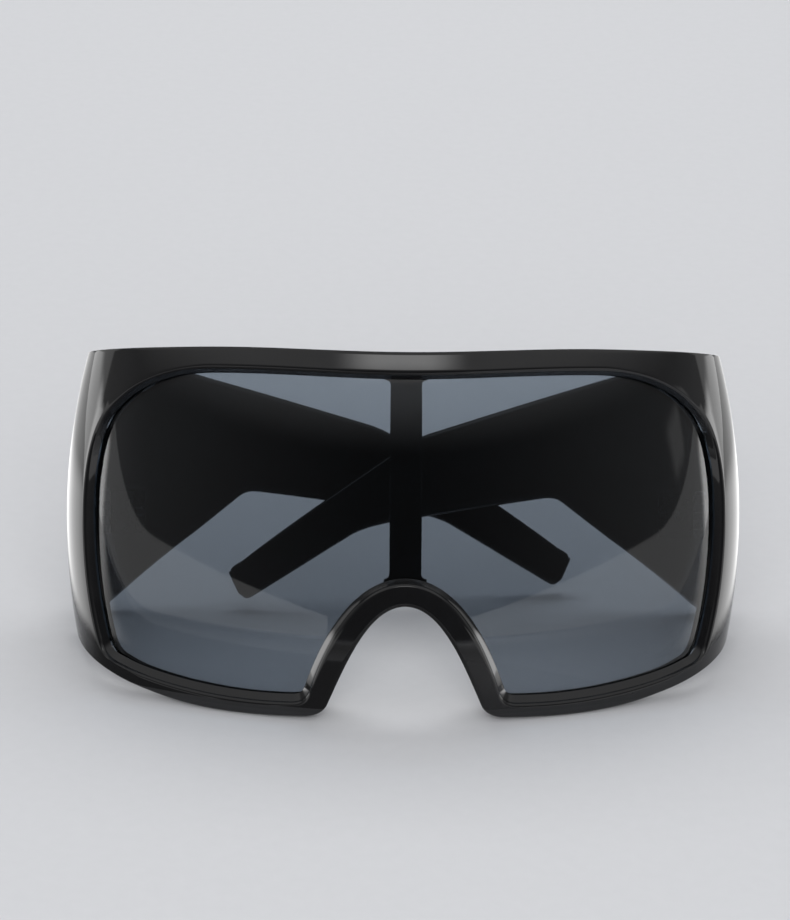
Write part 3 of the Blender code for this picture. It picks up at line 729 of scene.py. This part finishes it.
def bossTools(direction, origin, side):
    # A boss to join and its two screw holes to cut, for the end of the front or for a temple
    tools = [(bossShape(direction), "UNION")]
    for share in hingeSizes["screwShares"]:
        tools.append((screwHole(hingeSizes["reach"] * share), "DIFFERENCE"))
    made = []
    for shape, operation in tools:
        shape = hingeDirections(shape, direction, origin)
        made.append((mirrorX(shape) if side < 0 else shape, operation))
    return made


rightAxis = Vector(axisPlace) + Vector((0, 0, sheet["bulgeMiddle"]))
tools = [(barShape(), "UNION")]
for side in (1, -1):
    tools += bossTools(-1, rightAxis, side)
front = combine(rimShape(), tools)
addPiece("frameFront", front, stand, "front", ["frame_front"], black)
print("front made")


def edgeHeights(points, wanted):
    # The lower and upper edge of a lens outline at these distances from the centre
    side = int(np.argmax(points[:, 0]))
    upper, lower = points[: side + 1], points[side:][::-1]
    return np.interp(wanted, lower[:, 0], lower[:, 1]), np.interp(wanted, upper[:, 0], upper[:, 1])


def lensShape():
    # Upright rings from side to side, each with a chamfer at its upper and lower edge
    sizes = lensSizes
    counts = [count * sizes["finer"] for count in baseCounts]
    opening = outline(lensTable, counts, sheet["halfArc"], sheet["height"])
    inset = recessDraft(opening[:, 1]) - sizes["bite"]
    full = inwardOffset(opening, inset)
    face = inwardOffset(opening, inset + sizes["chamfer"])
    turns = np.sin(np.linspace(0, math.pi / 2, sizes["columns"] + 1))[:-1]
    sFull, sFace = turns * full[:, 0].max(), turns * face[:, 0].max()
    lowFull, highFull = edgeHeights(full, sFull)
    lowFace, highFace = edgeHeights(face, sFace)
    near, far, cut = sizes["recess"], sizes["recess"] + sizes["thickness"], sizes["chamfer"]
    rings = []
    for i in range(len(turns)):
        rise = np.linspace(lowFace[i], highFace[i], sizes["rows"])
        ring = [(sFace[i], z, near) for z in rise]
        ring += [(sFull[i], highFull[i], near + cut), (sFull[i], highFull[i], far - cut)]
        ring += [(sFace[i], z, far) for z in rise[::-1]]
        ring += [(sFull[i], lowFull[i], far - cut), (sFull[i], lowFull[i], near + cut)]
        rings.append(ring)
    rings = np.array(rings)
    rings = sheetPoints(rings[..., 0], rings[..., 1], rings[..., 2])
    other = rings[1:][::-1] * np.array([-1, 1, 1])
    return gridMesh(np.concatenate([other, rings]))


lens = meshOf(lensShape())
addPiece("shieldLens", lens, stand, "front", ["shield_lens"], tint)
print("lens made")

# The temple's upper and lower edge from its root to its end, in shares of its length and the height
headTable = (
    ((0, 0.990), (0.09, 0.990), (0.162, 0.958), (0.2217, 0.935)),
    ((0.2217, 0.935), (0.343, 0.885), (0.4634, 0.834), (0.5848, 0.783)),
    ((0.5848, 0.783), (0.609, 0.772), (0.639, 0.751), (0.6667, 0.721)),
    ((0.6667, 0.721), (0.764, 0.631), (0.873, 0.533), (0.976, 0.424)),
    ((0.976, 0.424), (0.987, 0.414), (1, 0.408), (1, 0.395)),
)
footTable = (
    ((0, 0.252), (0.03, 0.263), (0.145, 0.404), (0.212, 0.471)),
    (
        (0.212, 0.471), (0.2428, 0.504), (0.2737, 0.538), (0.3045, 0.572), (0.3199, 0.589),
        (0.3276, 0.598), (0.3546, 0.593), (0.4413, 0.577), (0.528, 0.559), (0.6147, 0.541),
    ),
    ((0.6147, 0.541), (0.6725, 0.528), (0.7226, 0.520), (0.7582, 0.4875)),
    ((0.7582, 0.4875), (0.8247, 0.432), (0.8902, 0.376), (0.9567, 0.3205)),
    ((0.9567, 0.3205), (0.9634, 0.315), (0.973, 0.315), (0.9769, 0.325)),
)
templeSizes = {
    "length": 109.0 * mm,
    "counts": (5, 12, 4, 4, 2),
    "finer": 6,
    "tipWall": 3.2 * mm,
    "round": 0.8 * mm,
    "tipRound": 0.6 * mm,
    "flatten": 0.44,  # the share of the length that the bulge takes to fade
    "faceRows": 22,
    "roundSteps": 5,
    "tipSteps": 6,
    "play": math.radians(0.9),
    "crossing": 0.81,  # the share of the length at which the folded arms cross
}


def templeWall(share):
    return wall + (templeSizes["tipWall"] - wall) * share


def templePoints(u, z, depth):
    # Points at a distance behind the front's end and at a depth behind the temple's outer face
    drawnIn, slope = bulge(z)
    flat = 1 - ease(u / templeSizes["length"], 0, templeSizes["flatten"])
    slope = slope * flat
    length = np.sqrt(1 + slope**2)
    inward = drawnIn * flat + depth / length
    points = endPlace + endBackward * u[:, None] - endOutward * inward[:, None]
    points[:, 2] = z - slope / length * depth
    return points


def templeSection(foot, head, inset, shift):
    # One ring across the plate, from its lower to its upper edge. The inset rounds the two ends.
    along = head - foot
    reach = np.linalg.norm(along)
    along = along / reach
    sizes = templeSizes
    edge = min(sizes["round"], reach / 4)
    low, high = inset, reach - inset
    shares = np.linspace(0, 1, sizes["faceRows"] + 2)[1:-1]
    skin = arc((low + edge, edge), 180, 270, (edge, edge), sizes["roundSteps"])
    skin += [(low + edge + (high - low - 2 * edge) * share, 0) for share in shares]
    skin += arc((high - edge, edge), 270, 360, (edge, edge), sizes["roundSteps"])
    outer, inner = [], []
    for q, depth in skin:
        u, z = foot + along * q
        outer.append((u + shift, z, inset + depth))
        inner.append((u + shift, z, templeWall(u / sizes["length"]) - inset - depth))
    return outer + inner[::-1]


def templeShape():
    sizes = templeSizes
    counts = [count * sizes["finer"] for count in sizes["counts"]]
    heads = outline(headTable, counts, sizes["length"], sheet["height"])
    feet = outline(footTable, counts, sizes["length"], sheet["height"])
    tip = sizes["tipRound"]
    turns = np.linspace(0, math.pi / 2, sizes["tipSteps"])
    rooted = [(tip * (1 - math.sin(a)), gap + tip * (1 - math.cos(a))) for a in turns]
    ended = [(tip * (1 - math.cos(a)), gap + tip * math.sin(a)) for a in turns[1:]]
    sections = [templeSection(feet[0], heads[0], *ends) for ends in rooted]
    sections += [templeSection(foot, head, 0, gap) for foot, head in zip(feet[1:], heads[1:])]
    sections += [templeSection(feet[-1], heads[-1], *ends) for ends in ended]
    rings = [templePoints(*np.array(section).T) for section in sections]
    return gridMesh(np.array(rings) - np.array(rightAxis))


def hingeMatrix(side):
    return stand @ Matrix.Translation((rightAxis.x * side, rightAxis.y, rightAxis.z))


def templeMatrix(side):
    # Where the folded temple lies. The left one is folded last and crosses behind the right one.
    square = math.pi - endHeading
    crossing = 2 * axisPlace[0] + hingeSetback - templeSizes["crossing"] * templeSizes["length"]
    over = math.atan2(templeWall(templeSizes["crossing"]) + foldClearance, crossing)
    fold = square if side > 0 else square - over
    turn = Euler((0, -templeSizes["play"], fold * side), "ZYX").to_matrix().to_4x4()
    return hingeMatrix(side) @ turn


for side, word in ((1, "right"), (-1, "left")):
    shape = templeShape()
    if side < 0:
        mirrorX(shape)
    mesh = combine(shape, bossTools(1, (0, 0, 0), side))
    addPiece(
        "temple" + word.title(), mesh, templeMatrix(side), "arm_" + word, ["temple_" + word],
        black,
    )
print("temples made")


def leafShape(direction):
    # A barrel and its leaf in one outline, raised, then slotted between the knuckles and bored
    sizes = hingeSizes
    half = hingeHeight / 2
    rolled = math.pi * 2 - math.acos(leafBack / sizes["barrel"])
    turns = np.linspace(0, rolled, sizes["barrelSteps"])
    barrel = [(sizes["barrel"] * math.cos(a), -sizes["barrel"] * math.sin(a)) for a in turns]
    corners = barrel + [(leafBack, sizes["reach"]), (sizes["barrel"], sizes["reach"])]
    bm = bmesh.new()
    face = bm.faces.new([bm.verts.new((x, y, -half)) for x, y in corners])
    raised = bmesh.ops.extrude_face_region(bm, geom=[face])
    top = [item for item in raised["geom"] if isinstance(item, bmesh.types.BMVert)]
    bmesh.ops.translate(bm, verts=top, vec=(0, 0, hingeHeight))
    bmesh.ops.recalc_face_normals(bm, faces=bm.faces)
    reach = sizes["barrel"] + sizes["overrun"]
    cuts = []
    for index in range(1 if direction < 0 else 0, sizes["knuckles"], 2):
        low = index * (sizes["knuckleHeight"] + gap) - half
        high = low + sizes["knuckleHeight"]
        near = sizes["barrel"] + gap
        cuts.append(block((-reach, -reach, low - gap), (reach, near, high + gap)))
    over = half + sizes["overrun"]
    cuts.append(rod(sizes["pin"] + gap, (0, 0, -over), (0, 0, over)))
    for share in sizes["screwShares"]:
        along = sizes["reach"] * share
        start = (leafBack - sizes["overrun"], along, 0)
        cuts.append(rod(sizes["screw"] + gap, start, (reach, along, 0)))
    mesh = combine(bm, [(cut, "DIFFERENCE") for cut in cuts])
    shape = bmesh.new()
    shape.from_mesh(mesh)
    return hingeDirections(shape, direction, (0, 0, 0))


screwSizes = {
    "rimShare": 0.45,
    "underCut": 0.06 * mm,
    "domeSteps": 9,
    "slotHalf": 0.17 * mm,
    "slotDepth": 0.32 * mm,
    "slotReach": 1.3,
}


def slottedScrew(head, headHeight, shank, length):
    # The head is domed over a short rim, the shank ends in a chamfer, and a slot is cut across
    sizes = screwSizes
    rim = headHeight * sizes["rimShare"]
    turns = np.linspace(0, math.pi / 2, sizes["domeSteps"])
    profile = [(head * math.sin(a), rim + (headHeight - rim) * math.cos(a)) for a in turns]
    profile[0] = (0, headHeight)
    profile += [(head, sizes["underCut"]), (head - sizes["underCut"], 0), (shank, 0)]
    profile += [(shank, -length + shank / 2), (shank / 2, -length), (0, -length)]
    across = head * sizes["slotReach"]
    low = (-across, -sizes["slotHalf"], headHeight - sizes["slotDepth"])
    slot = block(low, (across, sizes["slotHalf"], headHeight + hingeSizes["overrun"]))
    mesh = combine(turned(profile), [(slot, "DIFFERENCE")])
    bm = bmesh.new()
    bm.from_mesh(mesh)
    return bm


screwUnder = leafBack - hingeSizes["slip"]
screwLength = standoff - screwUnder + hingeSizes["screwBite"]


def screwMatrix(along, angle):
    # A screw drawn along Z, set into the leaf along the outward direction
    lie = Vector((0, 0, -1)).rotation_difference(Vector((1, 0, 0))).to_matrix().to_4x4()
    return Matrix.Translation((screwUnder, along, 0)) @ lie @ Matrix.Rotation(angle, 4, "Z")


for side, word in ((1, "right"), (-1, "left")):
    frontPlace = hingeMatrix(side)
    for direction, part, matrix, body in (
        (-1, "front", frontPlace, "front"), (1, "temple", templeMatrix(side), "arm_" + word),
    ):
        leaf = leafShape(direction)
        if side < 0:
            mirrorX(leaf)
        addPiece(
            f"hingeLeaf{part.title()}{word.title()}", meshOf(leaf), matrix, body,
            [f"hinge_leaf_{part}_{word}"], steel, hingeSizes["leafSoftEdge"],
        )
        for number, share in enumerate(hingeSizes["screwShares"], start=1):
            screw = slottedScrew(*hingeSizes["screwHead"], hingeSizes["screw"], screwLength)
            angle = hingeSizes["screwTurn"] * number + direction + side
            place(screw, screwMatrix(hingeSizes["reach"] * share, angle))
            hingeDirections(screw, direction, (0, 0, 0))
            if side < 0:
                mirrorX(screw)
            addPiece(
                f"leafScrew{part.title()}{word.title()}{number}", meshOf(screw), matrix, body,
                [f"leaf_screw_{part}_{word}_{number}"], steel,
            )
    pin = slottedScrew(*hingeSizes["pinHead"], hingeSizes["pin"], hingeHeight + hingeSizes["slip"])
    top = Matrix.Translation((0, 0, hingeHeight / 2 + hingeSizes["slip"]))
    place(pin, top @ Matrix.Rotation(hingeSizes["pinTurn"] * side, 4, "Z"))
    addPiece(
        f"hingeScrew{word.title()}", meshOf(pin), frontPlace, "front", [f"hinge_screw_{word}"],
        steel,
    )
print("hinges made")

view = {
    "distance": 700.0 * mm,
    "across": -2.4 * mm,
    "height": 54.7 * mm,
    "yaw": math.radians(0.8),
    "roll": math.radians(0.38),
    "sensor": 36,
    "focal": 3339 / 920 * 36,  # 3339 pixels, on a picture 920 high that takes the whole sensor
    "near": 0.01,
    "far": 50,
}


def makeCamera():
    # Looks along the upright glasses, and leans back with them
    across = Vector((math.cos(view["yaw"]), -math.sin(view["yaw"]), 0))
    ahead = Vector((math.sin(view["yaw"]), math.cos(view["yaw"]), 0))
    up = Vector((0, 0, 1))
    spot = across * view["across"] - ahead * view["distance"] + up * view["height"]
    cosRoll, sinRoll = math.cos(view["roll"]), math.sin(view["roll"])
    right = across * cosRoll + up * sinRoll
    above = up * cosRoll - across * sinRoll
    turn = Matrix((right, above, -ahead)).transposed().to_4x4()
    data = bpy.data.cameras.new("camera")
    data.sensor_width = view["sensor"]
    data.lens = view["focal"]
    data.clip_start = view["near"]
    data.clip_end = view["far"]
    camera = bpy.data.objects.new("camera", data)
    camera.matrix_world = stand @ Matrix.Translation(spot) @ turn
    bpy.context.scene.collection.objects.link(camera)
    bpy.context.scene.camera = camera


makeCamera()

floorLook = {
    "half": 4,
    "dark": (0.60, 0.605, 0.62, 1),
    "pale": (0.63, 0.635, 0.65, 1),
    "grain": (300, 4.0, 0.6),
    "roughness": 0.6,
    "grainRoughness": 0.1,
}


def makeFloor():
    look = floorLook
    material, shader, places = newMaterial("paleFloor")
    grain = noise(places, *look["grain"])
    setShader(shader, places, {
        "Base Color": grain.blend(look["dark"], look["pale"]),
        "Roughness": look["roughness"] + grain * look["grainRoughness"],
        "Specular IOR Level": 0.0,
    })
    bm = bmesh.new()
    bmesh.ops.create_grid(bm, x_segments=1, y_segments=1, size=look["half"])
    floor = bpy.data.objects.new("floor", meshOf(bm))
    floor.data.materials.append(material)
    bpy.context.scene.collection.objects.link(floor)


makeFloor()

# A wide soft box overhead, and a narrower one in front that also lights the table under the nose
# arch. Both face the glasses. Gloss and glass show the cards below in place of them.
lamps = {
    "softbox": {"spot": (0, 0.8, 1.2), "width": 1.4, "depth": 0.6, "power": 10},
    "frontBox": {"spot": (0, -1.1, 0.66), "width": 0.9, "depth": 0.6, "power": 8},
}


def aimed(spot, target, forward):
    facing = Vector(target) - Vector(spot)
    return Matrix.Translation(spot) @ facing.to_track_quat(forward, "Y").to_matrix().to_4x4()


for name, sizes in lamps.items():
    data = bpy.data.lights.new(name, "AREA")
    data.shape = "RECTANGLE"
    data.size, data.size_y = sizes["width"], sizes["depth"]
    data.energy = sizes["power"]
    lamp = bpy.data.objects.new(name, data)
    lamp.matrix_world = aimed(sizes["spot"], (0, 0, 0), "-Z")
    lamp.visible_camera = lamp.visible_glossy = lamp.visible_transmission = False
    bpy.context.scene.collection.objects.link(lamp)


def reflector(name, spot, target, size, level, softEdge):
    # A glowing card that only glossy surfaces see. Its edges turn clear over a share of its size.
    material, _, places = newMaterial(name)
    spread = places.node("TexCoord", output=0)
    mask = 1.0
    for axis, soft in enumerate(softEdge):
        along = spread.part(axis)
        for share in (along, 1 - along):
            mask = share.range(0.0, soft, "SMOOTHSTEP") * mask
    glow = places.node("Emission", {"Color": (level, level, level, 1)})
    panelMix = places.node("MixShader", {0: mask, 1: places.node("BsdfTransparent"), 2: glow})
    tree = material.node_tree
    tree.links.new(panelMix.socket, tree.nodes["Material Output"].inputs["Surface"])
    bm = bmesh.new()
    bmesh.ops.create_grid(bm, x_segments=1, y_segments=1, size=0.5)
    bmesh.ops.scale(bm, vec=(*size, 1), verts=bm.verts)
    panel = bpy.data.objects.new(name, meshOf(bm))
    panel.data.materials.append(material)
    panel.matrix_world = aimed(spot, target, "Z")
    panel.visible_camera = False
    panel.visible_diffuse = False
    panel.visible_transmission = False
    panel.visible_volume_scatter = False
    panel.visible_shadow = False
    bpy.context.scene.collection.objects.link(panel)


# Each card: its place, the point it faces, its width and height, its brightness, its soft edges.
# On both sides: long low cards, the wall behind, boxes and floor cards beside the glasses.
pairedCards = {
    "sideCard": ((0.6, -1.3, 0.1), (0, -1.3, 0.1), (2.64, 0.2), 0.9, (0.01, 0.05)),
    "backWall": ((1.2, 1.1, 0.6), (0.2, 0.1, 0.6), (2.2, 1.2), 0.9, (0.05, 0.05)),
    "sideBoxFar": ((0.5, 0.25, 0.045), (0, 0.25, 0.045), (0.5, 0.21), 2.4, (0.12, 0.25)),
    "sideBoxNear": ((0.48, 0.07, 0.045), (0, 0.07, 0.045), (0.18, 0.21), 4.6, (0.3, 0.25)),
    "floorCardFar": ((0.27, 0.2, 0.003), (0.27, 0.2, 1), (0.38, 0.5), 1.1, (0.03, 0.1)),
    "floorCardNear": ((0.27, 0.04, 0.004), (0.27, 0.04, 1), (0.38, 0.18), 2.2, (0.03, 0.3)),
}
# Dim cards lie on the table in front, one stands to the right, and a strip hangs over the camera.
singleCards = {
    "darkCard": ((-0.3, -0.6, 0.002), (-0.3, -0.6, 1), (1.2, 1.5), 0.25, (0.25, 0.4)),
    "darkCardNear": ((-0.2, -0.095, 0.003), (-0.2, -0.095, 1), (0.5, 0.18), 0.12, (0.15, 0.1)),
    "rightCard": ((1.2, -0.48, 0.58), (0, 0, 0.05), (0.36, 0.34), 0.7, (0.3, 0.3)),
    "keyStrip": ((0.0, -0.75, 1.15), (0, 0, 0), (0.6, 0.31), 3.3, (0.35, 0.35)),
}
for side in (1, -1):
    for name, (spot, target, *rest) in pairedCards.items():
        reflector(name, (spot[0] * side, *spot[1:]), (target[0] * side, *target[1:]), *rest)
for name, card in singleCards.items():
    reflector(name, *card)

roomLook = {
    "soft": (0.50, 0.505, 0.52, 1),
    "ceilingHeights": (0.574, 0.777),
    "ceiling": 0.5,
    "sides": 0.3,
    "lowest": 0.05,
}


def makeRoom():
    # An even pale room, that gloss sees as a dark one with a brighter ceiling and brighter sides
    look = roomLook
    world = bpy.data.worlds.new("world")
    bpy.context.scene.world = world
    world.use_nodes = True
    tree = world.node_tree
    path = tree.nodes.new("ShaderNodeLightPath")
    glossy = Wire(tree, path.outputs["Is Glossy Ray"])
    outward = glossy.node("TexCoord", output=0)
    ceiling = outward.part(2).range(*look["ceilingHeights"], "SMOOTHSTEP")
    sideways = outward.part(0)
    dome = ceiling * look["ceiling"] + sideways * sideways * look["sides"] + look["lowest"]
    glossy.feed(tree.nodes["Background"].inputs["Color"], glossy.blend(look["soft"], dome))


makeRoom()
bpy.context.scene.view_settings.view_transform = "Standard"
print("stage made")
